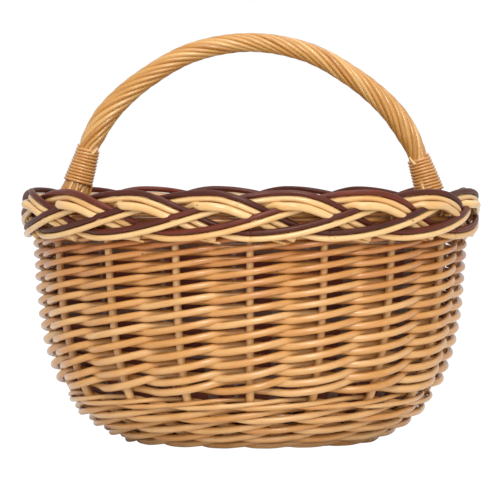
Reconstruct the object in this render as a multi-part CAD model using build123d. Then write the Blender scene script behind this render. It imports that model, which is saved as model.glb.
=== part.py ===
from build123d import *
import math
import os

# Oval willow shopping basket with a plaited border and a roped bow handle.
# Millimetres, +Z up, +X along the length. The origin is on the floor, under the middle of the base.

# Whole basket
RIM_HALF_LENGTH = 199.0       # stake line at the top of the wall, at the ends
RIM_HALF_WIDTH = 150.0        # stake line at the top of the wall, at the front
WALL_TOP = 200.0              # height of the stake line's upper end
STAKES = 16                   # upright stakes, one to each base stick end
FIT = 0.35                    # air left between rods that lie against each other

# Rods
STAKE_D = 8.0
STAKE_TIP_Z = 230.0           # the stakes' ends stand upright behind the border to here
WEAVER_D = 4.9
WALE_D = 5.0
BASE_ROD_D = 4.0
STICK_D = 8.0

# Wall outline, from the base's edge to the rim: half length and height
WALL_SHARES = ((0.543, 0.0385), (0.688, 0.1025), (0.822, 0.21), (0.905, 0.375),
               (0.950, 0.535), (0.980, 0.75), (1.0, 1.0))

# Base
BASE_CORE_HALF_LENGTH = 48.0  # where the flat weave starts round the crossed sticks
BASE_CORE_HALF_WIDTH = 21.4
BASE_ROUND_PITCH = 8.6        # from one round of the flat weave to the next
STICK_FLAT = 4.2              # long sticks are shaved to this where they pass the short ones
SHAVED_HALF_LENGTH = 46.0
STICK_TURN_RADIUS = 30.0      # where the sticks are opened out like a fan

# Three-rod wale, round the foot of the wall; heights are measured up the wall
WALE_START = 4.5
WALE_ROUND_PITCH = 16.5
WALE_BAYS = 55                # how far each wale rod runs
WALE_PAIR_GAP = 10.4          # between the two front strokes on one stake

# Siding, sixteen rods worked together
SIDING_START = 80.0
SIDING_LEVELS = 12
LEVEL_PITCH = 13.2            # at the bottom
LEVEL_PITCH_LOSS = 0.216      # each level is this much closer than the one below it

# Plaited border
PLAIT_STRANDS = 4
PLAIT_STRAND_D = 8.4
PLAIT_TOP = 240.0
PLAIT_BOTTOM = 196.5
PLAIT_OVERHANG = 12.9         # from the stake line to the middle of the plait
PLAIT_RISE_SHARE = 0.62       # of a strand's wave is spent rising
PLAIT_BAYS = 4                # stakes to one wave

# Handle
HANDLE_TOP = 389.0            # top of the bow
HANDLE_CORE_D = 8.0
HANDLE_TOP_D = 16.8           # over the roping, at the top
HANDLE_FOOT_D = 20.0          # over the roping, at the feet
HANDLE_FOOT_INSET = 30.0      # from the stake line at the rim in to the feet of the bow
HANDLE_FOOT_Z = 239.0
HANDLE_SHARES = ((0.0, 0.0), (0.32, 0.065), (0.586, 0.237), (0.787, 0.442), (0.905, 0.647),
                 (0.953, 0.81), (1.0, 1.0))
TAIL_TOP = 192.0              # the bow's ends reach the wall's inside at this height
TAIL_FOOT = 110.0             # and go down beside it to here

# Bindings round the handle's feet
BINDING_D = 2.5
BINDING_PITCH = 3.3
BINDING_TURNS = 11

# Loose ends of the roping, which go down into the border
LEG_D = 4.6
LEG_LENGTH = 32.0
LEG_SHARES = (-1.0, -0.36, 0.36, 1.0)
LEG_SPREAD = 20.0

# Cloth lining
CLOTH = 1.5
LINING_TOP = 188.0
LINING_SHARES = (0.02, 0.2, 0.36, 0.55, 0.75)   # places up the wall that the cloth's side goes through
SLACK_FULL_SHARE = 0.55       # from here up the cloth hangs clear of the bow's tails

# How finely the lines are worked out
NEAR_SHARE = 0.1              # of a bay, to find which way a rod is going
NEAR_WAVE_SHARE = 0.01        # of a wave of the plait, for the same
HALVINGS = 40
STAKE_STEPS = 8
BOW_STEPS = 12
ROPING_STEPS = 24


def curve_point(points, place):
    """A point on a smooth line through the points, with 0, 1, 2 and so on at the points."""
    index = min(int(place), len(points) - 2)
    u = place - index
    before = points[index - 1] if index > 0 else points[0] * 2 - points[1]
    after = points[index + 2] if index + 2 < len(points) else points[-1] * 2 - points[-2]
    here = points[index]
    there = points[index + 1]
    bend = (before * 2 - here * 5 + there * 4 - after) * u * u
    swing = (here * 3 - before - there * 3 + after) * u * u * u
    return here + ((there - before) * u + bend + swing) / 2


def spread_evenly(points, samples=400):
    """A table of lengths along a smooth line, to walk along it at a steady rate."""
    table = [(0.0, 0.0)]
    last = curve_point(points, 0)
    for step in range(1, samples + 1):
        place = (len(points) - 1) * step / samples
        here = curve_point(points, place)
        table.append((table[-1][0] + (here - last).length, place))
        last = here
    return table


def look_up(table, distance):
    """The place in a table of lengths that lies at a distance, carried on past its ends."""
    low = 0
    high = len(table) - 1
    while high - low > 1:
        middle = (low + high) // 2
        if table[middle][0] <= distance:
            low = middle
        else:
            high = middle
    (d0, p0), (d1, p1) = table[low], table[high]
    return p0 + (p1 - p0) * (distance - d0) / (d1 - d0)


# The wall: a smooth outline carried round an ellipse, with the stakes at even steps round it
WALL_POINTS = [Vector(RIM_HALF_LENGTH * x, 0, WALL_TOP * z) for x, z in WALL_SHARES]
WALL_TABLE = spread_evenly(WALL_POINTS)
OVAL = RIM_HALF_WIDTH / RIM_HALF_LENGTH


def ring_table(samples=720):
    """Lengths round the ellipse against its angle, from the front middle, anticlockwise."""
    table = [(0.0, -math.pi / 2)]
    last = Vector(0, -OVAL)
    for step in range(1, samples + 1):
        angle = -math.pi / 2 + 2 * math.pi * step / samples
        here = Vector(math.cos(angle), OVAL * math.sin(angle))
        table.append((table[-1][0] + (here - last).length, angle))
        last = here
    return table


RING_TABLE = ring_table()


def angle_at(bays):
    """The angle round the basket at a number of bays from the front middle."""
    turns, rest = divmod(bays / STAKES, 1.0)
    return look_up(RING_TABLE, rest * RING_TABLE[-1][0]) + 2 * math.pi * turns


def wall_point(bays, height, proud=0.0):
    """A point on the wall's stake line, or so far proud of it on the outside."""
    angle = angle_at(bays)
    place = look_up(WALL_TABLE, height)
    last = len(WALL_POINTS) - 1
    at = curve_point(WALL_POINTS, min(max(place, 0), last))
    step = last / len(WALL_TABLE)
    below = curve_point(WALL_POINTS, min(max(place, step), last) - step)
    above = curve_point(WALL_POINTS, max(min(place, last - step), 0) + step)
    up = (above - below).normalized()
    if place < 0 or place > last:
        end = 0.0 if place < 0 else WALL_TABLE[-1][0]
        at = at + up * (height - end)
    point = Vector(at.X * math.cos(angle), at.X * OVAL * math.sin(angle), at.Z)
    along = Vector(-at.X * math.sin(angle), at.X * OVAL * math.cos(angle), 0)
    rising = Vector(up.X * math.cos(angle), up.X * OVAL * math.sin(angle), up.Z)
    return point + along.cross(rising).normalized() * proud


def biarc(start, start_way, end, end_way):
    """Two arcs that join two points and meet the directions there."""
    reach = end - start
    ways = start_way + end_way
    a = 2 * (1 - start_way.dot(end_way))
    b = 2 * reach.dot(ways)
    c = -reach.dot(reach)
    if a < 1e-9:
        d = -c / b
    else:
        d = (-b + math.sqrt(b * b - 4 * a * c)) / (2 * a)
    first = start + start_way * d
    second = end - end_way * d
    middle = (first + second) / 2
    return [arc(start, first, middle), arc(middle, second, end)]


def arc(start, corner, end):
    """The arc from start to end whose end tangents meet at the corner."""
    half = (end - start).length / 2
    centre = (start + end) / 2
    lift = corner - centre
    if lift.length < half * 1e-4:
        return Line(start, end)
    half_turn = math.atan2(lift.length, half)
    return ThreePointArc(start, centre + lift.normalized() * half * math.tan(half_turn / 2), end)


def rod(points, diameter, ways=None):
    """A round rod through the points, on arcs that run smoothly into each other."""
    if ways is None:
        ways = [(b - a).normalized() for a, b in zip([points[0]] + points, points[1:] + [points[-1]])]
    edges = []
    for a, way_a, b, way_b in zip(points, ways, points[1:], ways[1:]):
        edges += biarc(a, way_a, b, way_b)
    section = Plane(origin=points[0], z_dir=ways[0]) * Circle(diameter / 2)
    return sweep(section, path=Wire(edges))


def woven_rod(first_bay, strokes, height_at, lift, diameter):
    """A rod that passes each stake so far in front of it (+) or behind it (-)."""
    points = []
    ways = []
    for step, side in enumerate(strokes):
        bay = first_bay + step
        height = height_at(step)
        points.append(wall_point(bay, height, side * lift))
        slope = height_at(step + 0.5) - height_at(step - 0.5)
        ahead = wall_point(bay + NEAR_SHARE, height + slope * NEAR_SHARE, side * lift)
        ways.append((ahead - points[-1]).normalized())
    return rod(points, diameter, ways)


def save(name, shape):
    """Write one piece, or one group of like pieces."""
    export_step(shape, f"parts/{name}.step")


# Base: short sticks slit for the long ones, opened out like a fan
EDGE_HALF_LENGTH = WALL_POINTS[0].X
EDGE_HALF_WIDTH = EDGE_HALF_LENGTH * OVAL
STICK_Z = WALL_POINTS[0].Z
STICKS_LONG = (3, 4, 5)       # bays at whose stakes the long sticks end
STICKS_SHORT = (-2, -1, 0, 1, 2)
STICK_END_SHARE = 1 - STAKE_D / 4 / (EDGE_HALF_LENGTH - BASE_CORE_HALF_LENGTH)


def base_point(bay, share, z):
    """A point in the flat base, from the crossed sticks (0) to the edge (1)."""
    angle = angle_at(bay)
    half_length = BASE_CORE_HALF_LENGTH + (EDGE_HALF_LENGTH - BASE_CORE_HALF_LENGTH) * share
    half_width = BASE_CORE_HALF_WIDTH + (EDGE_HALF_WIDTH - BASE_CORE_HALF_WIDTH) * share
    return Vector(half_length * math.cos(angle), half_width * math.sin(angle), z)


def stick(near, far, diameter):
    """A base stick from one edge of the base to the other."""
    points = [base_point(near, STICK_END_SHARE, STICK_Z), base_point(near, 0, STICK_Z),
              base_point(far, 0, STICK_Z), base_point(far, STICK_END_SHARE, STICK_Z)]
    straight = (points[1] - points[0]).cross(points[2] - points[1]).length < FIT * FIT
    path = Line(points[0], points[3]) if straight else FilletPolyline(*points, radius=STICK_TURN_RADIUS)
    start = Plane(origin=points[0], z_dir=points[1] - points[0])
    return sweep(start * Circle(diameter / 2), path=path)


def shaved_stick(near, far, ease):
    """A long stick, shaved thin where it passes through the short ones."""
    whole = stick(near, far, STICK_D + 2 * ease)
    waste = Box(2 * SHAVED_HALF_LENGTH, EDGE_HALF_WIDTH, STICK_D)
    drop = (STICK_FLAT + STICK_D) / 2 + ease
    return whole - Pos(0, 0, STICK_Z + drop) * waste - Pos(0, 0, STICK_Z - drop) * waste


def make_base():
    long_sticks = [shaved_stick(bay, STAKES / 2 - bay + STAKES / 2, 0) for bay in STICKS_LONG]
    slits = [shaved_stick(bay, STAKES / 2 - bay + STAKES / 2, FIT / 2) for bay in STICKS_LONG]
    for number, piece in enumerate(long_sticks):
        save(f"base_stick_long_{number + 1}", piece)
    for number, bay in enumerate(STICKS_SHORT):
        piece = stick(bay, STAKES / 2 - bay, STICK_D)
        for slit in slits:
            piece = piece - slit
        save(f"base_stick_short_{number + 1}", piece)


def make_base_weave():
    """Two rods worked as a pair: at each stick one is above and the other below. The foot is level."""
    lift = (STICK_D + BASE_ROD_D) / 2 + FIT
    width = min(EDGE_HALF_LENGTH - BASE_CORE_HALF_LENGTH, EDGE_HALF_WIDTH - BASE_CORE_HALF_WIDTH)
    bays = int(STAKES * (width - BASE_ROUND_PITCH) / BASE_ROUND_PITCH)
    floor = Pos(0, 0, -STICK_Z) * Box(4 * EDGE_HALF_LENGTH, 4 * EDGE_HALF_WIDTH, 2 * STICK_Z)
    for number in (0, 1):
        points = []
        ways = []
        for step in range(bays + 1):
            aside = (number - 0.5) * BASE_ROUND_PITCH / 2
            share = (BASE_ROUND_PITCH * (0.5 + step / STAKES) + aside) / width
            rise = lift if (step + number + step // STAKES) % 2 == 0 else -lift
            points.append(base_point(step, share, STICK_Z + rise))
            ahead = base_point(step + NEAR_SHARE, share, STICK_Z + rise)
            ways.append((ahead - points[-1]).normalized())
        save(f"base_weaver_{number + 1}", rod(points, BASE_ROD_D, ways) - floor)


def make_stakes():
    heights = [WALL_TABLE[-1][0] * step / STAKE_STEPS for step in range(STAKE_STEPS + 1)]
    for stake in range(STAKES):
        points = [wall_point(stake, height) for height in heights]
        ways = [(wall_point(stake, height + FIT) - wall_point(stake, height - FIT)).normalized()
                for height in heights]
        tip = wall_point(stake, heights[-1], 2 * FIT)
        points.append(Vector(tip.X, tip.Y, STAKE_TIP_Z))
        ways.append(Vector(0, 0, 1))
        save(f"stake_{stake + 1:02d}", rod(points, STAKE_D, ways))


def make_wale():
    """Three rods in turn pass in front of two stakes and behind one."""
    lift = (STAKE_D + WALE_D) / 2 + FIT
    sides = (-1, 1, 1)
    offsets = (0.0, WALE_PAIR_GAP / 2, -WALE_PAIR_GAP / 2)
    for number in range(3):
        strokes = [sides[step % 3] for step in range(WALE_BAYS - number)]

        def height_at(step):
            low = offsets[math.floor(step) % 3]
            high = offsets[(math.floor(step) + 1) % 3]
            part = step - math.floor(step)
            spiral = WALE_START + WALE_PAIR_GAP / 2 + WALE_ROUND_PITCH * (step + number) / STAKES
            return spiral + low + (high - low) * part

        save(f"wale_rod_{number + 1}", woven_rod(number, strokes, height_at, lift, WALE_D))


def siding_height(level):
    """Height up the wall of a level of the siding."""
    return SIDING_START + LEVEL_PITCH * level - LEVEL_PITCH_LOSS * level * level / 2


def make_siding():
    """Each rod starts at its own stake and climbs a level while it is in front of the next."""
    lift = (STAKE_D + WEAVER_D) / 2 + FIT
    for stake in range(STAKES):
        later = stake % 2
        strokes = [-1 if step % 2 == 0 else 1 for step in range(2 * SIDING_LEVELS + 2 - later)]

        def height_at(step):
            level = (step - 1 + later) / 2
            climb = LEVEL_PITCH - LEVEL_PITCH_LOSS * level
            return siding_height(level) + climb / 2 * math.sin(math.pi * (step - 1))

        save(f"siding_weaver_{stake + 1:02d}", woven_rod(stake - 1, strokes, height_at, lift, WEAVER_D))


# Plaited border: the ring that the strands wander about
PLAIT_LIFT = (PLAIT_STRAND_D + FIT) / 2
PLAIT_SWING = (PLAIT_TOP - PLAIT_BOTTOM - PLAIT_STRAND_D) / 2
PLAIT_Z = (PLAIT_TOP + PLAIT_BOTTOM) / 2


def plait_wave(wave):
    """Height of a strand in its wave, from -1 to 1: a slow rise and a quick fall."""
    part = wave % 1.0
    if part < PLAIT_RISE_SHARE:
        return -math.cos(math.pi * part / PLAIT_RISE_SHARE)
    return math.cos(math.pi * (part - PLAIT_RISE_SHARE) / (1 - PLAIT_RISE_SHARE))


def plait_crossing(low, high, neighbour):
    """Where between two places of its wave a strand is as high as its neighbour."""
    def above(wave):
        return plait_wave(wave) - plait_wave(wave - neighbour / PLAIT_STRANDS)

    for _ in range(HALVINGS):
        middle = (low + high) / 2
        if (above(middle) > 0) == (above(high) > 0):
            high = middle
        else:
            low = middle
    return (low + high) / 2


def plait_places():
    """Places in one wave and the side that the strand is on there: over, over, under, over, under, under."""
    top = PLAIT_RISE_SHARE
    return [(0.0, 0),
            (plait_crossing(0, top / 2, 1), 1),
            (plait_crossing(top / 6, top * 5 / 6, 2), 1),
            (plait_crossing(top / 2, top, 3), -1),
            (top, 0),
            (plait_crossing(top, (1 + top) / 2, 1), 1),
            (plait_crossing(top + (1 - top) / 6, top + (1 - top) * 5 / 6, 2), -1),
            (plait_crossing((1 + top) / 2, 1, 3), -1)]


def plait_point(bays, wave, side):
    """A point on a strand, at a place round the rim and in its wave."""
    angle = angle_at(bays)
    out = PLAIT_OVERHANG + side * PLAIT_LIFT
    return Vector((RIM_HALF_LENGTH + out) * math.cos(angle), (RIM_HALF_WIDTH + out) * math.sin(angle),
                  PLAIT_Z + PLAIT_SWING * plait_wave(wave))


def make_plait():
    """Four strands plaited flat; each ends where it began, behind the others."""
    places = plait_places()
    near = NEAR_WAVE_SHARE
    for strand in range(PLAIT_STRANDS):
        points = []
        ways = []
        for turn in range(STAKES // PLAIT_BAYS):
            for wave, side in places:
                bays = (turn + wave + strand / PLAIT_STRANDS) * PLAIT_BAYS
                points.append(plait_point(bays, wave, side))
                ahead = plait_point(bays + near * PLAIT_BAYS, wave + near, side)
                behind = plait_point(bays - near * PLAIT_BAYS, wave - near, side)
                ways.append((ahead - behind).normalized())
        last = points[0] - ways[0] * FIT
        save(f"plait_strand_{strand + 1}", rod(points + [last], PLAIT_STRAND_D, ways + [ways[0]]))


# Bow handle: a thick rod with thinner rods roped round it
HANDLE_FOOT_X = RIM_HALF_LENGTH - HANDLE_FOOT_INSET
HANDLE_DROP = HANDLE_TOP - HANDLE_TOP_D / 2 - HANDLE_FOOT_Z
HANDLE_HALF = [Vector(HANDLE_FOOT_X * x, 0, HANDLE_FOOT_Z + HANDLE_DROP * (1 - z)) for x, z in HANDLE_SHARES]
HANDLE_LINE = [Vector(-p.X, 0, p.Z) for p in reversed(HANDLE_HALF[1:])] + HANDLE_HALF
HANDLE_TABLE = spread_evenly(HANDLE_LINE)
HANDLE_LENGTH = HANDLE_TABLE[-1][0]


def handle_point(distance):
    """A point on the middle of the bow, at a length from its left foot."""
    return curve_point(HANDLE_LINE, look_up(HANDLE_TABLE, distance))


def handle_way(distance):
    """The bow's direction there."""
    low = max(distance - FIT, 0)
    high = min(distance + FIT, HANDLE_LENGTH)
    return (handle_point(high) - handle_point(low)).normalized()


def roping_radius(distance):
    """Half the thickness over the roping: least at the top of the bow."""
    from_top = abs(2 * distance / HANDLE_LENGTH - 1)
    return (HANDLE_TOP_D + (HANDLE_FOOT_D - HANDLE_TOP_D) * from_top ** 1.5) / 2


def tail_height(z):
    """How far up the wall a height above the floor lies."""
    low = 0.0
    high = WALL_TABLE[-1][0]
    for _ in range(HALVINGS):
        middle = (low + high) / 2
        if wall_point(0, middle).Z < z:
            low = middle
        else:
            high = middle
    return low


def bow_points():
    """The bow from tail to tail: its ends go down inside the wall, against the siding."""
    inset = (STAKE_D + HANDLE_CORE_D) / 2 + WEAVER_D + 2 * FIT
    tail = [wall_point(STAKES / 4, tail_height(z), -inset)
            for z in (TAIL_FOOT, (TAIL_FOOT + TAIL_TOP) / 2, TAIL_TOP)]
    bow = [handle_point(HANDLE_LENGTH * step / BOW_STEPS) for step in range(BOW_STEPS + 1)]
    return [Vector(-p.X, 0, p.Z) for p in tail] + bow + list(reversed(tail))


def make_handle():
    points = bow_points()
    ways = [(b - a).normalized() for a, b in zip([points[0]] + points, points[1:] + [points[-1]])]
    for index in range(1, len(points) - 1):
        ways[index] = (points[index + 1] - points[index - 1]).normalized()
    save("handle_core", rod(points, HANDLE_CORE_D, ways))
    bore = rod(points, HANDLE_CORE_D + 2 * FIT, ways)
    rings = []
    for step in range(ROPING_STEPS + 1):
        distance = HANDLE_LENGTH * step / ROPING_STEPS
        plane = Plane(origin=handle_point(distance), z_dir=handle_way(distance), x_dir=(0, 1, 0))
        rings.append(plane * Circle(roping_radius(distance)))
    save("handle_roping", loft(rings) - bore)


def make_bindings():
    """A split rod wound round each foot of the bow, over the roping."""
    for name, side in (("binding_left", -1), ("binding_right", 1)):
        points = []
        for step in range(-1, 4 * BINDING_TURNS + 2):
            up = 2 * BINDING_D + BINDING_PITCH * step / 4
            centre = handle_point(up)
            way = handle_way(up)
            out = roping_radius(up) + FIT + BINDING_D / 2
            turn = math.pi / 2 * step
            across = way.cross(Vector(0, 1, 0)) * math.cos(turn) + Vector(0, 1, 0) * math.sin(turn)
            points.append(centre + across * out)
        points = [Vector(-side * p.X, p.Y, p.Z) for p in points]
        ways = [(after - before).normalized() for before, after in zip(points, points[2:])]
        points = points[1:-1]
        gap = least_gap(points)
        print(f"{name}: least gap between turns {gap:.2f} mm")
        points = [points[0] - ways[0] * BINDING_D] + points + [points[-1] + ways[-1] * BINDING_D]
        ways = [ways[0]] + ways + [ways[-1]]
        save(name, rod(points, BINDING_D, ways))


def least_gap(points):
    """The least distance between a winding's turns, from surface to surface."""
    least = math.inf
    for index, here in enumerate(points):
        for there in points[index + 3:]:
            least = min(least, (there - here).length)
    return least - BINDING_D


def make_legs():
    """Loose ends of the roping, from each foot of the bow down into the border."""
    foot = Vector(HANDLE_FOOT_X, 0, HANDLE_FOOT_Z)
    way = -handle_way(0)
    way = Vector(-way.X, 0, way.Z)
    out = way.cross(Vector(0, 1, 0))
    ring = (HANDLE_CORE_D + LEG_D) / 2 + 4 * FIT
    for name, side in (("roping_ends_left", -1), ("roping_ends_right", 1)):
        rods = []
        for share in LEG_SHARES:
            turn = math.pi / 2 * share
            start = foot + way * FIT + (out * math.cos(turn) + Vector(0, 1, 0) * math.sin(turn)) * ring
            reach = RIM_HALF_LENGTH - STAKE_D / 2
            end = Vector(reach, share * LEG_SPREAD, start.Z - LEG_LENGTH)
            start = Vector(side * start.X, start.Y, start.Z)
            end = Vector(side * end.X, end.Y, end.Z)
            section = Plane(origin=start, z_dir=end - start) * Circle(LEG_D / 2)
            rods.append(sweep(section, path=Line(start, end)))
        save(name, Compound(children=rods))


# Cloth lining: an open bag inside the wall and a piece over the base
LINING_GAP = (STAKE_D + 2 * WEAVER_D) / 2 + 3 * FIT


def lining_outline(inset):
    """Points up the lining's side, so far inside the stake line."""
    points = []
    length = WALL_TABLE[-1][0]
    for share in LINING_SHARES:
        height = length * share
        slack = (HANDLE_CORE_D + 2 * FIT) * min(1.0, share / SLACK_FULL_SHARE)
        points.append(wall_point(STAKES / 4, height, -inset - slack))
    top = wall_point(STAKES / 4, tail_height(LINING_TOP), -inset - HANDLE_CORE_D - 2 * FIT)
    return points + [Vector(top.X, 0, LINING_TOP)]


def make_lining():
    outer = lining_outline(LINING_GAP)
    inner = lining_outline(LINING_GAP + CLOTH)
    inner[-1] = Vector(inner[-1].X, 0, LINING_TOP)
    outline = [Spline(*outer), Line(outer[-1], inner[-1]), Spline(*reversed(inner)), Line(inner[0], outer[0])]
    oval = (RIM_HALF_WIDTH - LINING_GAP - FIT) / (RIM_HALF_LENGTH - LINING_GAP - HANDLE_CORE_D)
    bag = revolve(make_face(Wire(outline)), axis=Axis.Z)
    save("lining_side", scale(bag, by=(1, oval, 1)))
    floor = STICK_Z + STICK_D / 2 + BASE_ROD_D + 2 * FIT
    pad = Pos(0, 0, floor + CLOTH / 2) * Ellipse(outer[0].X, outer[0].X * oval)
    save("lining_base", extrude(pad, amount=CLOTH / 2, both=True))


if __name__ == "__main__":
    os.makedirs("parts", exist_ok=True)
    make_base()
    make_base_weave()
    make_stakes()
    make_wale()
    make_siding()
    make_plait()
    make_handle()
    make_bindings()
    make_legs()
    make_lining()
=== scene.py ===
import math
import bpy
import numpy as np
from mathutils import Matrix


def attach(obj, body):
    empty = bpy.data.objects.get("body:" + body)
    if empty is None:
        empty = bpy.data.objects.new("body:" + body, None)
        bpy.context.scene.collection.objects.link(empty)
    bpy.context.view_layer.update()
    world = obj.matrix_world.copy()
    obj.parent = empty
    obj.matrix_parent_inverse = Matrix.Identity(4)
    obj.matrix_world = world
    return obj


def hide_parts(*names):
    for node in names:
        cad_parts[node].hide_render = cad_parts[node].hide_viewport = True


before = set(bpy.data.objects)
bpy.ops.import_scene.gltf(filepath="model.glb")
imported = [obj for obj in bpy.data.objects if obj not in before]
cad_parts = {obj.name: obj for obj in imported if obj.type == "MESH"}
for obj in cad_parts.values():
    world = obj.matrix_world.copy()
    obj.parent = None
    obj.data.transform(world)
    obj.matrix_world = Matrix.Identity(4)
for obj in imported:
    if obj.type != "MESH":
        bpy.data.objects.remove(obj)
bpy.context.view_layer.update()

# Base sticks
# Eight stout sticks of peeled willow: short ones slit in the middle and long ones pushed through them.
# They stay as the frame has them, and only get their finish here.
MM = 0.001
LONG_STICKS, SHORT_STICKS = 3, 5


def linear(code):
    """An sRGB hex colour as linear values."""
    values = [int(code[k:k + 2], 16) / 255 for k in (1, 3, 5)]
    return [v / 12.92 if v <= 0.04045 else ((v + 0.055) / 1.055) ** 2.4 for v in values] + [1]


def node(material, kind, inputs=(), **settings):
    """Add a shader node, set it up and link or set its inputs."""
    made = material.node_tree.nodes.new(kind)
    for key, value in settings.items():
        setattr(made, key, value)
    for key, value in dict(inputs).items():
        if isinstance(value, bpy.types.NodeSocket):
            material.node_tree.links.new(value, made.inputs[key])
        else:
            made.inputs[key].default_value = value
    return made


def ramp(material, factor, stops):
    """A colour ramp between places and hex colours."""
    made = node(material, "ShaderNodeValToRGB", {"Fac": factor})
    (first_at, first_code), (last_at, last_code) = stops[0], stops[-1]
    first, last = made.color_ramp.elements
    first.position, first.color = first_at, linear(first_code)
    last.position, last.color = last_at, linear(last_code)
    for at, code in stops[1:-1]:
        made.color_ramp.elements.new(at).color = linear(code)
    return made.outputs["Color"]


def scale_of(size):
    """The texture scale at which one feature has this size."""
    return 1 / size


# Peeled and shaved willow: blotches of 7 mm, from cream to light brown, under thin varnish
sticks = bpy.data.materials.new("Willow_Stick")
sticks.use_nodes = True
where = node(sticks, "ShaderNodeTexCoord").outputs["Object"]
blotch = node(sticks, "ShaderNodeTexNoise", {"Vector": where, "Scale": scale_of(7.14286 * MM), "Detail": 4.0})
stick_shader = sticks.node_tree.nodes["Principled BSDF"]
stick_colour = ramp(sticks, blotch.outputs["Fac"], [(0.3, "#e3b775"), (0.7, "#b97a3a")])
sticks.node_tree.links.new(stick_colour, stick_shader.inputs["Base Color"])
stick_shader.inputs["Roughness"].default_value = 0.42
stick_shader.inputs["Coat Weight"].default_value = 0.4

stick_names = [f"base_stick_long_{k + 1}" for k in range(LONG_STICKS)]
stick_names += [f"base_stick_short_{k + 1}" for k in range(SHORT_STICKS)]
for name in stick_names:
    bpy.data.objects[name].data.materials.clear()
    bpy.data.objects[name].data.materials.append(sticks)

# Base weave
# Two thin rods go round the fan of sticks as a pair, one over and one under each stick.
# Peeled willow of about 4 mm, damp when worked, so it follows every stick.
STAKES = 16
# half the length and width between the stakes at the rim
HALF_LENGTH, HALF_WIDTH = 199 * MM, 150 * MM
OVAL = HALF_WIDTH / HALF_LENGTH
BASE_CORE, BASE_EDGE, BASE_PITCH, BASE_BAYS = 48 * MM, 108.1 * MM, 8.6 * MM, 102
STICK_Z, BASE_SWING, BASE_ROD, LOWEST = 8.1 * MM, 6.3 * MM, 2.15 * MM, 2.35 * MM
rng = np.random.default_rng(16)


def lengths(points):
    """The distance walked along a line at each of its points."""
    return np.concatenate([[0], np.cumsum(np.linalg.norm(np.diff(points, axis=0), axis=1))])


turn = np.linspace(-math.pi / 2, 3 * math.pi / 2, 1500)
turn_length = lengths(np.column_stack([np.cos(turn), OVAL * np.sin(turn)]))


def angle_at(bays):
    """The angle at places round the basket, in bays from the front middle, anticlockwise from above."""
    turns = np.floor(bays / STAKES)
    return np.interp((bays / STAKES - turns) * turn_length[-1], turn_length, turn) + 2 * math.pi * turns


def wander(count, reach, amount):
    """A slow seeded waver along a rod; reach is how many samples one wave takes."""
    knots = rng.normal(0, amount, int(count / reach) + 4)
    return np.interp(np.arange(count) / reach, np.arange(len(knots)), knots)


def soften(values, width):
    """Values smoothed over some samples either way."""
    kernel = np.hanning(width + 2)[1:-1]
    padded = np.concatenate([np.full(width, values[0]), values, np.full(width, values[-1])])
    return np.convolve(padded, kernel / kernel.sum(), "same")[width:-width]


def units(vectors):
    """Rows of vectors, each made one long."""
    return vectors / np.linalg.norm(vectors, axis=1)[:, None]


# how far a cut end's last ring draws in and stands out, in radii, so that its edge is rounded
DRAWN_IN, STANDS_OUT = 0.72, 0.25
# a direction that no rod sets out along
ASKEW = (0.13, 0.29, 0.95)


def rods(name, parts, sides=12):
    """One object of several round rods. A part is its points and its radius and tone at each."""
    verts, faces, grain, tones = [], [], [], []
    start = 0
    for points, radii, tone in parts:
        points = np.asarray(points, float)
        count = len(points)
        radii = np.broadcast_to(radii, count).astype(float)
        ways = units(np.gradient(points, axis=0))
        # a sideways direction is carried from ring to ring, so that the mesh doesn't twist
        side = np.cross(ways[0], ASKEW)
        across = np.empty((count, 3))
        for k in range(count):
            side = side - ways[k] * side.dot(ways[k])
            side /= np.linalg.norm(side)
            across[k] = side
        other = np.cross(ways, across)
        far = lengths(points)
        shift = rng.uniform(0, 5, 3)
        turns = 2 * math.pi * np.arange(sides) / sides
        rings = [(0, DRAWN_IN)] + [(k, 1.0) for k in range(count)] + [(count - 1, DRAWN_IN)]
        for order, (k, scale) in enumerate(rings):
            centre = points[k]
            if order == 0:
                centre = centre - ways[0] * radii[0] * STANDS_OUT
            if order == len(rings) - 1:
                centre = centre + ways[-1] * radii[-1] * STANDS_OUT
            u, v = radii[k] * scale * np.cos(turns), radii[k] * scale * np.sin(turns)
            verts.append(centre + u[:, None] * across[k] + v[:, None] * other[k])
            grain.append(np.column_stack([np.full(sides, far[k]), u, v]) + shift)
        tone = np.broadcast_to(tone, count)
        tones.append(np.repeat(tone[[k for k, _ in rings]], sides))
        corner = np.arange((len(rings) - 1) * sides)
        a = start + corner
        b = start + corner // sides * sides + (corner + 1) % sides
        faces += np.column_stack([a, b, b + sides, a + sides]).tolist()
        faces.append(list(range(start + sides - 1, start - 1, -1)))
        last = start + (len(rings) - 1) * sides
        faces.append(list(range(last, last + sides)))
        start = last + sides
    mesh = bpy.data.meshes.new(name)
    mesh.from_pydata(np.vstack(verts).tolist(), [], faces)
    mesh.polygons.foreach_set("use_smooth", [len(f) == 4 for f in faces])
    mesh.attributes.new("grain", "FLOAT_VECTOR", "POINT").data.foreach_set("vector", np.vstack(grain).ravel())
    mesh.attributes.new("tone", "FLOAT", "POINT").data.foreach_set("value", np.concatenate(tones))
    mesh.update()
    piece = bpy.data.objects.new(name, mesh)
    bpy.context.collection.objects.link(piece)
    return piece


def place(piece, slot, material, *nodes):
    """Hand a finished piece to the frame: its body and finish, and the CAD pieces it stands for. The slot is
    not used.
    """
    piece.data.materials.clear()
    piece.data.materials.append(material)
    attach(piece, "root")
    if nodes:
        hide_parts(*nodes)


def mix(material, factor, first, second):
    """A mix of two colours, each a socket or a plain colour."""
    made = node(material, "ShaderNodeMix", {"Factor": factor}, data_type="RGBA")
    sockets = [s for s in made.inputs if s.type == "RGBA"]
    for socket, colour in zip(sockets, (first, second)):
        if isinstance(colour, bpy.types.NodeSocket):
            material.node_tree.links.new(colour, socket)
        else:
            socket.default_value = colour
    return [s for s in made.outputs if s.type == "RGBA"][0]


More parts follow.
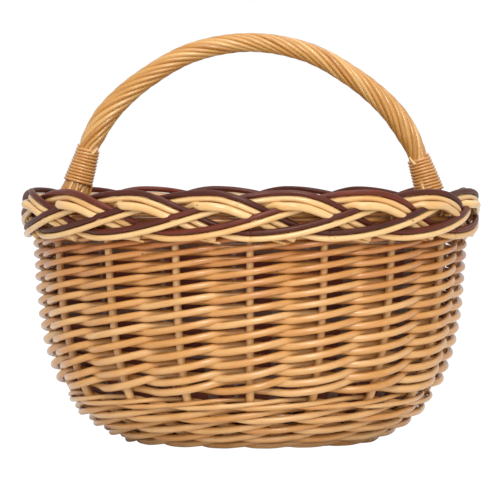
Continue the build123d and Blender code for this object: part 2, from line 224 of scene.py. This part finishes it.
def willow(name, stops, streak, specks, roughness, varnish):
    """Varnished willow: a tone for each rod, grain drawn out along it, and dark specks of leaf buds."""
    material = bpy.data.materials.new(name)
    material.use_nodes = True
    shader = material.node_tree.nodes["Principled BSDF"]
    grain = node(material, "ShaderNodeAttribute", attribute_name="grain").outputs["Vector"]
    tone = node(material, "ShaderNodeAttribute", attribute_name="tone").outputs["Fac"]

    def drawn_out(length, width):
        """The grain's coordinates, with one feature so long and so wide."""
        scale = (scale_of(length), scale_of(width), scale_of(width))
        return node(material, "ShaderNodeMapping", {"Vector": grain, "Scale": scale}).outputs[0]

    # fibres, drawn a little wider than real ones so that they show
    fibre_at = drawn_out(16.6667 * MM, 0.666667 * MM)
    fibre = node(material, "ShaderNodeTexNoise", {"Vector": fibre_at, "Scale": 1.0, "Detail": 3.0})
    fibre = fibre.outputs["Fac"]
    # patches where the rod is browner reach half way round it
    patch_at = drawn_out(25 * MM, 6.25 * MM)
    patch = node(material, "ShaderNodeTexNoise", {"Vector": patch_at, "Scale": 1.0, "Detail": 2.0})
    # a noise is a half on average, which is taken off again, so that a rod keeps its tone
    patches = 0.5
    average = (patches + streak) / 2
    streaked = node(material, "ShaderNodeMath", {0: fibre, 1: streak, 2: tone}, operation="MULTIPLY_ADD")
    both = node(material, "ShaderNodeMath", {0: patch.outputs["Fac"], 1: patches, 2: streaked.outputs[0]},
                operation="MULTIPLY_ADD").outputs[0]
    place_in = node(material, "ShaderNodeMath", {0: both, 1: average}, operation="SUBTRACT", use_clamp=True)
    colour = ramp(material, place_in.outputs[0], stops)
    # bud scars: a dark speck of about 1 mm in some of the cells
    spot_at = drawn_out(7.69231 * MM, 5.26316 * MM)
    spots = node(material, "ShaderNodeTexVoronoi", {"Vector": spot_at, "Scale": 1.0, "Randomness": 1.0})
    # a speck ends softly at this share of a cell
    edge = {"From Min": 0.10, "From Max": 0.17, "To Min": 1.0, "To Max": 0.0}
    near = node(material, "ShaderNodeMapRange", {"Value": spots.outputs["Distance"], **edge}).outputs[0]
    chosen = node(material, "ShaderNodeMath", {0: spots.outputs["Color"], 1: 1 - specks},
                  operation="GREATER_THAN").outputs[0]
    spotted = node(material, "ShaderNodeMath", {0: near, 1: chosen}, operation="MULTIPLY").outputs[0]
    mixed = mix(material, spotted, colour, linear("#5a3316"))
    bump = node(material, "ShaderNodeBump", {"Height": fibre, "Strength": 0.1, "Distance": 0.4 * MM})
    links = material.node_tree.links
    links.new(mixed, shader.inputs["Base Color"])
    links.new(bump.outputs[0], shader.inputs["Normal"])
    shader.inputs["Roughness"].default_value = roughness
    shader.inputs["Coat Weight"].default_value = varnish
    shader.inputs["Coat Roughness"].default_value = 0.22
    shader.inputs["Specular IOR Level"].default_value = 0.25
    return material


# Peeled white willow, varnished: golden, with fine streaks, browner patches and a soft gloss
buff = willow("Willow_Buff", [(0, "#dcb077"), (0.35, "#c98f4c"), (0.7, "#ad682c"), (1, "#7a3b14")],
              streak=0.35, specks=0.12, roughness=0.32, varnish=0.9)

for number in (0, 1):
    bays = np.linspace(0, BASE_BAYS, BASE_BAYS * 12 + 1)
    half_length = BASE_CORE + BASE_PITCH * (0.5 + bays / STAKES + (number - 0.5) / 2)
    half_width = half_length - BASE_EDGE * (1 - OVAL)
    swap = np.cos(math.pi * (np.floor(bays / STAKES) + number))
    z = STICK_Z + soften(swap * np.cos(math.pi * bays), 3) * BASE_SWING
    a = angle_at(bays)
    # the underside is trimmed level, so that the basket stands on it
    points = np.column_stack([half_length * np.cos(a), half_width * np.sin(a), np.maximum(z, LOWEST)])
    radius = BASE_ROD + wander(len(bays), 60, 0.06 * MM)
    weaver = rods(f"Willow_Base_Weaver_{number + 1}", [(points, radius, 0.45)], 10)
    place(weaver, "buff_willow", buff, f"base_weaver_{number + 1}")

# Stakes
# Sixteen upright rods, one from the end of each base stick, thick at the foot and thinner at the rim.
# Peeled willow; their tops stand behind the border that is plaited from the rods laid in beside them.
STAKE_LENGTH, STAKE_TIP = 229.8 * MM, 29 * MM
STAKE_RADIUS = np.array((4.2, 3.6, 3.0)) * MM
STAKE_RINGS, TIP_RINGS = 60, 8


def smooth_line(points, samples):
    """Points on a smooth line through the given ones."""
    points = np.asarray(points, float)
    padded = np.vstack([2 * points[0] - points[1], points, 2 * points[-1] - points[-2]])
    places = np.linspace(0, len(points) - 1, samples)
    index = np.minimum(places.astype(int), len(points) - 2)
    u = (places - index)[:, None]
    p0, p1, p2, p3 = (padded[index + k] for k in range(4))
    return 0.5 * (2 * p1 + (p2 - p0) * u + (2 * p0 - 5 * p1 + 4 * p2 - p3) * u ** 2
                  + (3 * p1 - p0 - 3 * p2 + p3) * u ** 3)


# the wall's outline at its ends, from the edge of the base to the rim: half length and height
outline = np.array(((108.1, 8.1), (136.9, 20.5), (163.6, 42), (180.1, 75), (189.1, 107), (195, 150),
                    (199, 200))) * MM
wall_line = smooth_line(outline, 500)
# above the rim it goes straight on
wall_line = np.vstack([wall_line, wall_line[-1] + (wall_line[-1] - wall_line[-2]) * 120])
wall_up = lengths(wall_line)
wall_way = np.gradient(wall_line, wall_up, axis=0)


def wall(bays, height, proud):
    """Points on the line of the stakes at heights measured up the wall, or so far proud of it."""
    bays, height, proud = np.broadcast_arrays(np.asarray(bays, float), height, proud)
    a = angle_at(bays)
    x, z = (np.interp(height, wall_up, wall_line[:, k]) for k in (0, 1))
    tx, tz = (np.interp(height, wall_up, wall_way[:, k]) for k in (0, 1))
    point = np.column_stack([x * np.cos(a), x * OVAL * np.sin(a), z])
    along = np.column_stack([-np.sin(a), OVAL * np.cos(a), 0 * a])
    rising = np.column_stack([tx * np.cos(a), tx * OVAL * np.sin(a), tz])
    return point + units(np.cross(along, rising)) * proud[:, None]


for stake in range(STAKES):
    heights = np.linspace(0, STAKE_LENGTH, STAKE_RINGS)
    points = wall(np.full(STAKE_RINGS, stake), heights, wander(STAKE_RINGS, 14, 0.25 * MM))
    # the tip stands straight up
    tip = np.linspace(0.1, 1, TIP_RINGS)[:, None] * (0, 0, STAKE_TIP)
    points = np.vstack([points, points[-1] + tip])
    radii = np.interp(np.arange(len(points)), [0, STAKE_RINGS - 1, STAKE_RINGS + TIP_RINGS - 1], STAKE_RADIUS)
    # the stakes' light tone is painted light: it stands in for the light they catch standing forward in the
    # wall
    piece = rods(f"Willow_Stake_{stake + 1:02d}", [(points, radii, rng.uniform(0.1, 0.3))])
    place(piece, "buff_willow", buff, f"stake_{stake + 1:02d}")

# Three-rod wale
# Three rods in turn go in front of two stakes and behind one, packed hard round the foot of the wall.
# It hides the stakes there; its fifth round is of thin tips and lies closer than the others.
WALE_MIDDLE, WALE_ROUND, WALE_LAST_ROUND, WALE_STROKES = 8.7 * MM, 16.3 * MM, 13.0 * MM, 80
STAKE_AT_WALE = 3.9 * MM
WALE_RADIUS = np.array((3.25, 3.1, 2.3, 1.8)) * MM
# how far a rod rises and drops in a stroke, in the thick rounds and in the last
WALE_STROKE_RISE = np.array((4.4, 3.1)) * MM
# how high it has come at the start and after three, four and five rounds
WALE_RISE = np.cumsum((0, 3 * WALE_ROUND, WALE_LAST_ROUND, 0.6 * WALE_LAST_ROUND))
for number in range(3):
    last = WALE_STROKES - number
    steps = np.linspace(-0.45, last - 0.55, last * 18)
    # over three bays a rod goes in front of two stakes and behind one, and drops and climbs in between
    stroke = steps % 3
    side = soften(np.interp(stroke, [0, 1, 1.5, 2, 3], [-1, 1, 1.22, 1, -1]), 9)
    level = soften(np.interp(stroke, [0, 0.4, 1, 2, 2.6, 3], [0.0, -0.75, -0.85, 0.75, 0.95, 0.0]), 9)
    # the rounds are level, and each steps up to the next at the back
    bays = number + steps - STAKES / 2
    rounds = np.floor((steps + number) / STAKES)
    stepped = rounds + np.clip(((steps + number) / STAKES - rounds - 0.8) / 0.2, 0, 1)
    rising = np.interp(stepped, [0, 3, 4, 5], WALE_RISE)
    radius = np.interp(stepped, [0, 3, 4, 5], WALE_RADIUS) + wander(len(steps), 40, 0.08 * MM)
    height = WALE_MIDDLE + rising + level * np.interp(stepped, [3, 4], WALE_STROKE_RISE)
    height = height + wander(len(steps), 25, 0.35 * MM)
    points = wall(bays, height, side * (STAKE_AT_WALE + radius * 0.95))
    piece = rods(f"Willow_Wale_{number + 1}", [(points, radius, rng.uniform(0.12, 0.38))])
    place(piece, "buff_willow", buff, f"wale_rod_{number + 1}")

# Siding
# Sixteen rods worked together, each from its own stake: a stroke in front climbs a full row, and
# behind the next stake it runs level. Butts are at the bottom, so the rods thin towards the top.
SIDING_START, PITCH, PITCH_LOSS, ROWS = 89.5 * MM, 12.98 * MM, 0.22 * MM, 12
SIDING_RADIUS = np.array((3.6, 3.4, 2.95, 2.7)) * MM
# the bays that a rod starts before its stake and runs on after its last row
RUN_IN, RUN_ON = 1.2, 1.3
for stake in range(STAKES):
    later = stake % 2
    last = 2 * ROWS + RUN_ON
    u = np.linspace(-RUN_IN, last, int(20 * (last + RUN_IN)))
    row = (u - later) / 2
    height = SIDING_START + PITCH * row - PITCH_LOSS * row ** 2 / 2
    # every other rod starts half a row lower, and there it is pressed up level with the rest
    height = height + later * np.interp(row, [-0.6, 0.6], [4.5 * MM, 0])
    # a straight climb in front of a stake and a level run behind the next
    saw = np.abs((u + 0.5) % 2 - 1) * 2 - 1
    height = height - (PITCH - PITCH_LOSS * row) / 4 * soften(saw, 11)
    radius = np.interp(row, [-0.6, 4, 9, 12], SIDING_RADIUS) + wander(len(u), 30, 0.09 * MM)
    stake_radius = np.interp(height, [0, 230 * MM], [4.15 * MM, 3.55 * MM])
    # a rod lies against a stake a little longer than a cosine would
    swing = np.cos(math.pi * u)
    swing = soften(np.sign(swing) * np.abs(swing) ** 0.85, 5)
    height = height + wander(len(u), 16, 0.3 * MM)
    points = wall(stake + u, height, swing * (stake_radius + radius) * 1.02)
    # it is a little browner towards its tip, and over the top rows it is painted much darker: painted shade
    # from the border's overhang
    tone = rng.uniform(0.1, 0.35) + np.interp(row, [0, 6, 12], [0, 0.05, 0.4])
    piece = rods(f"Willow_Siding_{stake + 1:02d}", [(points, radius, tone)])
    place(piece, "buff_willow", buff, f"siding_weaver_{stake + 1:02d}")

# Packing rods
# Thin rods go in and out round the stakes behind the plait and close the gaps below and in it.
# They are tips of peeled willow, mostly hidden by the plait.
PACKING_RODS, PACKING_START, PACKING_PITCH, PACKING_RADIUS = 7, 229 * MM, 5 * MM, 2.6 * MM
PACKING_FRONT, PACKING_BEHIND = 4.9 * MM, 5.9 * MM
for number in range(PACKING_RODS):
    u = np.linspace(0, STAKES, STAKES * 18 + 1)
    swing = np.cos(math.pi * (u + number))
    proud = np.where(swing > 0, PACKING_FRONT, PACKING_BEHIND) * soften(swing, 3)
    height = PACKING_START + number * PACKING_PITCH + wander(len(u), 20, 0.3 * MM)
    # its bends lie a little past the stakes
    points = wall(u + 0.3, height, proud)
    piece = rods(f"Willow_Packing_{number + 1}", [(points, PACKING_RADIUS, rng.uniform(0.35, 0.65))], 10)
    place(piece, "buff_willow", buff)

# Plaited border
# Four pairs of rods, each a dark one over a pale one, are plaited flat and leaned out over the wall.
# At every stake a thick pale rod comes up from inside, bends over and goes down beside a pair.
STRANDS, PLAIT_TOP, PLAIT_BOTTOM, OVERHANG = 4, 242 * MM, 194.5 * MM, 12.9 * MM
# how far the layers lie from the plait's middle, the radius of a rod and half the width of a pair
LAYER, PLAIT_ROD, PAIR_HALF = 3.9 * MM, 2.75 * MM, 5.6 * MM
# how far the rods of a pair, and a thick end, lie from the middle of the pair
PAIR_APART, THICK_APART = 2.9 * MM, 9.6 * MM
# the height up the wall at which the trimmed tips start
TRIMMED_TOP = 231 * MM
# the share of a wave that a strand takes to rise
RISE = 0.62
PLAIT_Z = (PLAIT_TOP + PLAIT_BOTTOM) / 2
SWING = (PLAIT_TOP - PLAIT_BOTTOM) / 2 - PAIR_HALF
# where a strand is in front of the others, at 1, and behind them, at -1, over one wave
LAYERS = ((0, 0), (0.13, 0.9), (0.2, 1), (0.28, 1), (0.35, 0.2), (0.45, -1), (0.56, -1), (RISE, 0),
          (0.69, 1), (0.75, 0.9), (0.81, -0.6), (0.87, -1), (0.94, -0.9), (1, 0))
# a thick end's way over one wave: how far inside its strand and how far below it, and its radius, in mm
THICK_INSIDE = ((0.47, 13), (0.5, 11), (0.53, 6), (0.56, 0), (0.59, -5.5), (0.64, -5.5), (0.7, 0))
THICK_BELOW = ((0.47, 6.5), (0.5, 4.5), (0.54, 2.2), (0.58, 0.6), (0.61, 0))
THICK_RADIUS = ((0.47, 2.7), (0.55, 3.1), (0.6, 3.9), (0.72, 3.8), (0.9, 3.0))

# The rods that lie in the border took less varnish: paler, with more streaks and specks
pale_buff = willow("Willow_Pale", [(0, "#e4bd84"), (0.35, "#d29c58"), (0.7, "#b87438"), (1, "#86471c")],
                   streak=0.4, specks=0.2, roughness=0.34, varnish=0.8)
# Willow steamed in its bark: a dark red brown with a dull bark surface
steamed = willow("Willow_Steamed", [(0, "#7c3218"), (0.35, "#562010"), (0.7, "#3a150b"), (1, "#220c07")],
                 streak=0.4, specks=0.1, roughness=0.44, varnish=0.15)


def between(places, pairs):
    """Values at places, read off straight lines between pairs of a place and a value."""
    return np.interp(places, *zip(*pairs))


def wave_height(wave):
    """Height of a strand in its wave, from -1 to 1: a slow rise and a quick fall."""
    part = wave % 1.0
    up = -np.cos(math.pi * part / RISE)
    down = np.cos(math.pi * (part - RISE) / (1 - RISE))
    return np.where(part < RISE, up, down)


def plait_line(strand, waves, above, inside=0.0, below=0.0):
    """A rod of a strand, so far to the upper side of the strand's middle, inside it and below it."""
    a = angle_at(waves * STRANDS + strand)
    out = OVERHANG + soften(between(waves % 1.0, LAYERS), 5) * LAYER - inside
    z = PLAIT_Z + SWING * soften(wave_height(waves), 3) - below
    line = np.column_stack([(HALF_LENGTH + out) * np.cos(a), (HALF_WIDTH + out) * np.sin(a), z])
    outward = np.column_stack([np.cos(a) * HALF_WIDTH, np.sin(a) * HALF_LENGTH, 0 * a])
    upper = np.cross(units(outward), units(np.gradient(line, axis=0)))
    return line + upper * above


for strand in range(STRANDS):
    waves = np.linspace(0, STAKES / STRANDS, STAKES // STRANDS * 96 + 1)
    dark = plait_line(strand, waves, PAIR_APART)
    pale = plait_line(strand, waves, -PAIR_APART)
    dark_radius = PLAIT_ROD + wander(len(waves), 40, 0.08 * MM)
    dark_piece = rods(f"Willow_Border_Dark_{strand + 1}", [(dark, dark_radius, rng.uniform(0.2, 0.6))])
    place(dark_piece, "dark_willow", steamed, f"plait_strand_{strand + 1}")
    pale_ends = []
    for wave in range(STAKES // STRANDS):
        part = np.linspace(THICK_RADIUS[0][0], THICK_RADIUS[-1][0], 48)
        inside = soften(between(part, THICK_INSIDE) * MM, 3)
        below = soften(between(part, THICK_BELOW) * MM, 3)
        line = plait_line(strand, wave + part, -THICK_APART, inside, below)
        pale_ends.append((line, between(part, THICK_RADIUS) * MM, rng.uniform(0.0, 0.25)))
    for wave in range(STAKES // STRANDS):
        # the trimmed tip of a rod shows under the plait
        bays = wave * STRANDS + strand + np.linspace(0.1, rng.uniform(0.45, 0.65), 14)
        height = TRIMMED_TOP - np.linspace(0, rng.uniform(6, 9), 14) * MM
        tip = wall(bays, height, np.linspace(5.5, rng.uniform(8.5, 10), 14) * MM)
        pale_ends.append((tip, np.linspace(2.4, 0.9, 14) * MM, rng.uniform(0.0, 0.5)))
    pale_radius = PLAIT_ROD + wander(len(waves), 40, 0.08 * MM)
    pale_rod = (pale, pale_radius, rng.uniform(0.05, 0.35))
    pale_piece = rods(f"Willow_Border_Pale_{strand + 1}", [pale_rod] + pale_ends)
    place(pale_piece, "buff_willow", pale_buff)

# Bow handle
# A stout rod bent over the basket, with eleven thinner rods roped round it from foot to foot.
# Its ends go down inside the wall. The bow was bent by hand, so its feet aren't quite alike.
ROPES, ROPE_LEAN = 11, math.radians(19)
# the stout rod's radius, how far up the wall its ends stop and leave the wall, and how far inside it they are
CORE_RADIUS, CORE_END, CORE_LEAVES, CORE_INSIDE = 3.9 * MM, 118 * MM, 221 * MM, 13.6 * MM
bow_places = ((-171, 226), (-167, 239), (-158.3, 265.9), (-150.5, 289), (-132, 318), (-98.7, 347),
              (-54.1, 371.4), (0, 380.6), (54.1, 371.4), (98.9, 347), (133, 318), (153, 289), (162.5, 265.9),
              (171.5, 239), (175, 226))
bow = smooth_line([(x * MM, 0, z * MM) for x, z in bow_places], 900)
bow_far = lengths(bow)
BOW = bow_far[-1]
bow_way = np.gradient(bow, bow_far, axis=0)
FRONT = np.array((0, -1, 0))
# half the thickness over the roping, which the bindings draw in, at distances from a foot, in mm
BOW_RADIUS = ((0, 8.0), (14, 12.4), (24, 11.4), (48, 9.0), (58, 9.6), (70, 10.8), (89, 11.2), (144, 10.1),
              (324, 8.4))

# Peeled willow with more varnish: even, smooth and a little darker, as hands polish it
golden = willow("Willow_Golden", [(0, "#d6aa69"), (0.4, "#c38c44"), (0.75, "#a56726"), (1, "#7b4011")],
                streak=0.2, specks=0.08, roughness=0.34, varnish=1.0)


def bow_radius(distance):
    """Half the bow's thickness over the roping, at distances from its left foot."""
    return between(np.minimum(distance, BOW - distance) / MM, BOW_RADIUS) * MM


def round_bow(distance, ring, phi):
    """Points at angles phi round the bow and so far from its middle, at distances from its left foot."""
    middle, way = (np.column_stack([np.interp(distance, bow_far, line[:, k]) for k in range(3)])
                   for line in (bow, bow_way))
    way = units(way)
    outer = np.column_stack([-way[:, 2], 0 * distance, way[:, 0]])
    return middle + ring[:, None] * (outer * np.cos(phi)[:, None] + FRONT * np.sin(phi)[:, None])


s = np.linspace(0, BOW, 520)
twist = np.concatenate([[0], np.cumsum(np.diff(s) * math.tan(ROPE_LEAN) / (0.75 * bow_radius(s[1:])))])
roping = []
for rope in range(ROPES):
    thick = 0.25 * bow_radius(s) * rng.uniform(0.95, 1.05)
    phi = 2 * math.pi * rope / ROPES + twist + wander(len(s), 90, 0.05)
    roping.append((round_bow(s, bow_radius(s) - thick, phi), thick, rng.uniform(0.1, 0.65)))
piece = rods("Willow_Roping", roping, 10)
place(piece, "handle_willow", golden, "handle_roping")

tail = wall(np.full(24, STAKES / 4), np.linspace(CORE_END, CORE_LEAVES, 24), -CORE_INSIDE)
core_line = np.vstack([tail * (-1, 1, 1), bow[24:-24:6], tail[::-1]])
core_line = smooth_line(core_line[::3], 400)
piece = rods("Willow_Bow", [(core_line, CORE_RADIUS, 0.5)])
place(piece, "handle_willow", golden, "handle_core")

# Roping ends
# Below each binding the roping rods splay out and are poked down into the plait beside the bow.
# They are of the same peeled willow, and spread less towards the inside of the basket.
LEGS, LEG_RADIUS, INNER_SHARE = 9, 2.35 * MM, 0.6
# the bunch at its top, middle and foot: its place, its height, and its reach outward and across, in mm
BUNCH = ((165, 249, 9.6, 9.6), (169.5, 235, 12.3, 13), (181, 206, 11, 18))
for side_name, sign in (("Left", -1), ("Right", 1)):
    legs = []
    for leg in range(LEGS):
        around = 2 * math.pi * (leg + 0.3) / LEGS
        out, across = math.cos(around), math.sin(around)
        out = out if out > 0 else INNER_SHARE * out
        line = [((x + reach * out) * MM, wide * across * MM, z * MM) for x, z, reach, wide in BUNCH]
        legs.append((smooth_line(line, 16) * (sign, 1, 1), LEG_RADIUS, rng.uniform(0.2, 0.6)))
    piece = rods(f"Willow_Ends_{side_name}", legs, 10)
    place(piece, "handle_willow", golden, f"roping_ends_{side_name.lower()}")

# Bindings
# A split rod, flat inside and round outside, is wound eleven times round each foot of the bow.
# It comes up out of the plait on the inner side, and its pale pointed end is tucked under the last turn.
BINDING_TURNS, BINDING_PITCH, SPLIT_RADIUS = 11, 3.05 * MM, 1.55 * MM
RING_BOTTOM, RING_TOP, TUCK_UP, TUCKED = 12.9 * MM, 9.7 * MM, 28.9 * MM, 8 * MM
# the loop below the winding: how far up from the winding's start and out from the bow's middle, in mm,
# and how far round the bow, in radians
LOOP = np.array(((0, 12.9, 0), (-2.5, 13.4, 0.1), (-7.5, 13, 0.2), (-13, 9.5, 0.3), (-20, 5, 0.3)))


def round_foot(up, ring, phi, sign):
    """Points at angles phi round the bow, at distances up from its left or right foot."""
    return round_bow(up if sign < 0 else BOW - up, ring, phi)


for side_name, sign, lowest in (("Left", -1, 22.6 * MM), ("Right", 1, 13 * MM)):
    turns_round = np.linspace(-0.1, BINDING_TURNS + 0.1, BINDING_TURNS * 28)
    ring = np.interp(turns_round, [0, BINDING_TURNS], [RING_BOTTOM, RING_TOP])
    winding = round_foot(lowest + BINDING_PITCH * turns_round, ring, 2 * math.pi * turns_round, sign)
    winding = (winding, SPLIT_RADIUS + wander(len(ring), 20, 0.05 * MM), 0.35)
    loop = round_foot(lowest + LOOP[:, 0] * MM, LOOP[:, 1] * MM, math.pi + LOOP[:, 2], sign)
    loop = (smooth_line(loop, 18), 1.6 * MM, 0.35)
    up = lowest + np.linspace(TUCK_UP, TUCK_UP + TUCKED, 8)
    end = round_foot(up, bow_radius(up) + 1.2 * MM, np.linspace(2.1, 2.5, 8), sign)
    end = (end, np.linspace(1.9, 1.0, 8) * MM, 0.0)
    piece = rods(f"Willow_Binding_{side_name}", [winding, end, loop], 10)
    place(piece, "split_willow", buff, f"binding_{side_name.lower()}")

# Cloth lining
# A plaid cotton bag hangs inside the wall from under the border, with an oval piece over the base.
# It is one layer of woven cloth, a little slack, so it ripples between the stakes.
CLOTH, PLAID, YARN = 0.8 * MM, 64 * MM, 1.11111 * MM
BAG_TOP, BAG_BOTTOM, BAG_INSIDE, BAG_SLACK, REPEATS = 224 * MM, 0.5 * MM, 12 * MM, 1.5 * MM, 15
PAD_LENGTH, PAD_WIDTH, PAD_Z = 216 * MM, 166 * MM, 17.4 * MM

# Plain woven cotton: matt, with a plaid of rust, grey and dark brown yarns
cloth = bpy.data.materials.new("Cotton_Plaid")
cloth.use_nodes = True
cloth_shader = cloth.node_tree.nodes["Principled BSDF"]
cloth_uv = node(cloth, "ShaderNodeUVMap", uv_map="cloth").outputs["UV"]
apart = node(cloth, "ShaderNodeSeparateXYZ", {"Vector": cloth_uv})


def stripes(axis):
    """The colour of the yarns that lie side by side along an axis, over one repeat of the plaid."""
    repeat = node(cloth, "ShaderNodeMath", {0: apart.outputs[axis], 1: PLAID}, operation="DIVIDE").outputs[0]
    part = node(cloth, "ShaderNodeMath", {0: repeat}, operation="FRACT").outputs[0]
    made = ramp(cloth, part, [(0, "#8a4a38"), (0.30, "#8a4a38"), (0.31, "#a3968a"), (0.47, "#a3968a"),
                              (0.48, "#48291f"), (0.55, "#48291f"), (0.56, "#8a4a38"), (0.74, "#8f5c4c"),
                              (0.75, "#b3a89a"), (0.80, "#b3a89a"), (0.81, "#8a4a38"), (1, "#8a4a38")])
    made.node.color_ramp.interpolation = "CONSTANT"
    return made


# yarns of 1 mm, coarser than real ones so that they show, alternate between the two directions
yarn = node(cloth, "ShaderNodeTexChecker", {"Vector": cloth_uv, "Scale": scale_of(YARN)}).outputs["Fac"]
plaid = mix(cloth, yarn, stripes("X"), stripes("Y"))
cloth.node_tree.links.new(plaid, cloth_shader.inputs["Base Color"])
cloth_shader.inputs["Roughness"].default_value = 0.9
cloth_shader.inputs["Sheen Weight"].default_value = 0.2


def cloth_piece(name, points, uvs):
    """A sheet of cloth from a grid of points: rows go up or out, and the columns close into a ring."""
    rows, columns = points.shape[:2]
    faces = []
    corners = []
    flat = uvs.reshape(-1, 2)
    for r in range(rows - 1):
        for c in range(columns - 1):
            here, above = r * columns, (r + 1) * columns
            right = (c + 1) % (columns - 1)
            faces.append([here + c, here + right, above + right, above + c])
            corners.append(flat[[here + c, here + c + 1, above + c + 1, above + c]])
    mesh = bpy.data.meshes.new(name)
    mesh.from_pydata(points.reshape(-1, 3).tolist(), [], faces)
    layer = mesh.uv_layers.new(name="cloth")
    layer.data.foreach_set("uv", np.array(corners).ravel())
    mesh.polygons.foreach_set("use_smooth", [True] * len(faces))
    piece = bpy.data.objects.new(name, mesh)
    bpy.context.collection.objects.link(piece)
    bpy.context.view_layer.objects.active = piece
    bpy.ops.object.select_all(action="DESELECT")
    piece.select_set(True)
    bpy.ops.object.mode_set(mode="EDIT")
    bpy.ops.mesh.select_all(action="SELECT")
    bpy.ops.mesh.delete_loose()
    bpy.ops.object.mode_set(mode="OBJECT")
    layers = piece.modifiers.new("Cloth", "SOLIDIFY")
    layers.thickness = CLOTH
    layers.offset = 0
    return piece


rows, columns = 40, 321
bays = np.linspace(0, STAKES, columns)
heights = np.linspace(BAG_BOTTOM, BAG_TOP, rows)
ripple = (np.cos(2 * math.pi * bays) * 0.35 + np.cos(30 * math.pi * bays / STAKES + 2) * 0.3) * MM
bag = np.empty((rows, columns, 3))
for r, height in enumerate(heights):
    share = height / STAKE_LENGTH
    slack = BAG_SLACK * min(1.0, share / 0.55)
    bag[r] = wall(bays, np.full(columns, height), ripple * min(1, share * 3) - BAG_INSIDE - slack)
bag[:, -1] = bag[:, 0]
around = lengths(bag[rows // 2])
bag_uvs = np.empty((rows, columns, 2))
bag_uvs[:, :, 0] = around[None, :] / around[-1] * REPEATS * PLAID
bag_uvs[:, :, 1] = heights[:, None]
bag_piece = cloth_piece("Cloth_Lining_Side", bag, bag_uvs)
place(bag_piece, "lining_cloth", cloth, "lining_side")

spin = np.linspace(0, 2 * math.pi, 97)
shares = np.linspace(0.02, 1, 26)
pad = np.empty((len(shares), len(spin), 3))
for r, share in enumerate(shares):
    z = PAD_Z + 0.25 * MM * np.sin(3 * spin + 4 * share) * share
    pad[r] = np.column_stack([PAD_LENGTH / 2 * share * np.cos(spin), PAD_WIDTH / 2 * share * np.sin(spin), z])
pad_piece = cloth_piece("Cloth_Lining_Base", pad, pad[:, :, :2])
place(pad_piece, "lining_cloth", cloth, "lining_base")

# Room, lights and camera
# A pale floor that a camera ray sees as plain white, under a pale even sky.
# Three large soft lamps light the front and the top, and a small one puts a gloss on the rods.
BASKET_MIDDLE = np.array((0, 0, 0.17))
CAMERA_PLACE, CAMERA_DOWN, CAMERA_LENS, FILM = (0.0, -2.87, 0.274), 1.83, 216, 36
bpy.ops.mesh.primitive_plane_add(size=60, location=(0, 0, -0.5 * MM))
floor = bpy.context.object
floor.name = "Floor"
paper = bpy.data.materials.new("Paper_White")
paper.use_nodes = True
paper_shader = paper.node_tree.nodes["Principled BSDF"]
paper_shader.inputs["Base Color"].default_value = linear("#e9e9e9")
paper_shader.inputs["Roughness"].default_value = 0.9
# a camera ray sees nearly all of it as white
seen = node(paper, "ShaderNodeLightPath").outputs["Is Camera Ray"]
mostly = node(paper, "ShaderNodeMath", {0: seen, 1: 0.93}, operation="MULTIPLY").outputs[0]
white = node(paper, "ShaderNodeEmission", {"Color": (1, 1, 1, 1), "Strength": 1.1}).outputs[0]
paper_mix = node(paper, "ShaderNodeMixShader", {0: mostly, 1: paper_shader.outputs[0], 2: white})
paper.node_tree.links.new(paper_mix.outputs[0], paper.node_tree.nodes["Material Output"].inputs["Surface"])
floor.data.materials.append(paper)

# the sky lights the basket at this strength, and a camera ray sees it at 1
SKY = 0.76
world = bpy.data.worlds.new("Studio")
world.use_nodes = True
bpy.context.scene.world = world
background = world.node_tree.nodes["Background"]
background.inputs["Color"].default_value = (1, 1, 1, 1)
ray = node(world, "ShaderNodeLightPath").outputs["Is Camera Ray"]
strength = node(world, "ShaderNodeMath", {0: ray, 1: 1 - SKY, 2: SKY}, operation="MULTIPLY_ADD").outputs[0]
world.node_tree.links.new(strength, background.inputs["Strength"])

# each lamp's name, place, side in metres and power in watts
lamps = (("Key", (0, -1.3, 2.0), 1.5, 18), ("Fill", (0.3, -2.4, 0.3), 2.2, 7),
         ("Top", (0.2, 0.1, 2.1), 0.9, 6), ("Front", (0.2, -2.2, 1.15), 0.5, 18))
for name, at, size, power in lamps:
    lamp = bpy.data.lights.new(name, "AREA")
    lamp.shape = "SQUARE"
    lamp.size = size
    lamp.energy = power
    holder = bpy.data.objects.new(name, lamp)
    holder.location = at
    to_basket = BASKET_MIDDLE - at
    level = math.hypot(to_basket[0], to_basket[1])
    holder.rotation_euler = (math.atan2(level, -to_basket[2]), 0, math.atan2(-to_basket[0], to_basket[1]))
    bpy.context.collection.objects.link(holder)

camera = bpy.data.cameras.new("Camera")
camera.lens = CAMERA_LENS
camera.sensor_width = FILM
eye = bpy.data.objects.new("Camera", camera)
eye.location = CAMERA_PLACE
eye.rotation_euler = (math.radians(90 - CAMERA_DOWN), 0, 0)
bpy.context.collection.objects.link(eye)
bpy.context.scene.camera = eye

bpy.context.scene.view_settings.view_transform = "Standard"
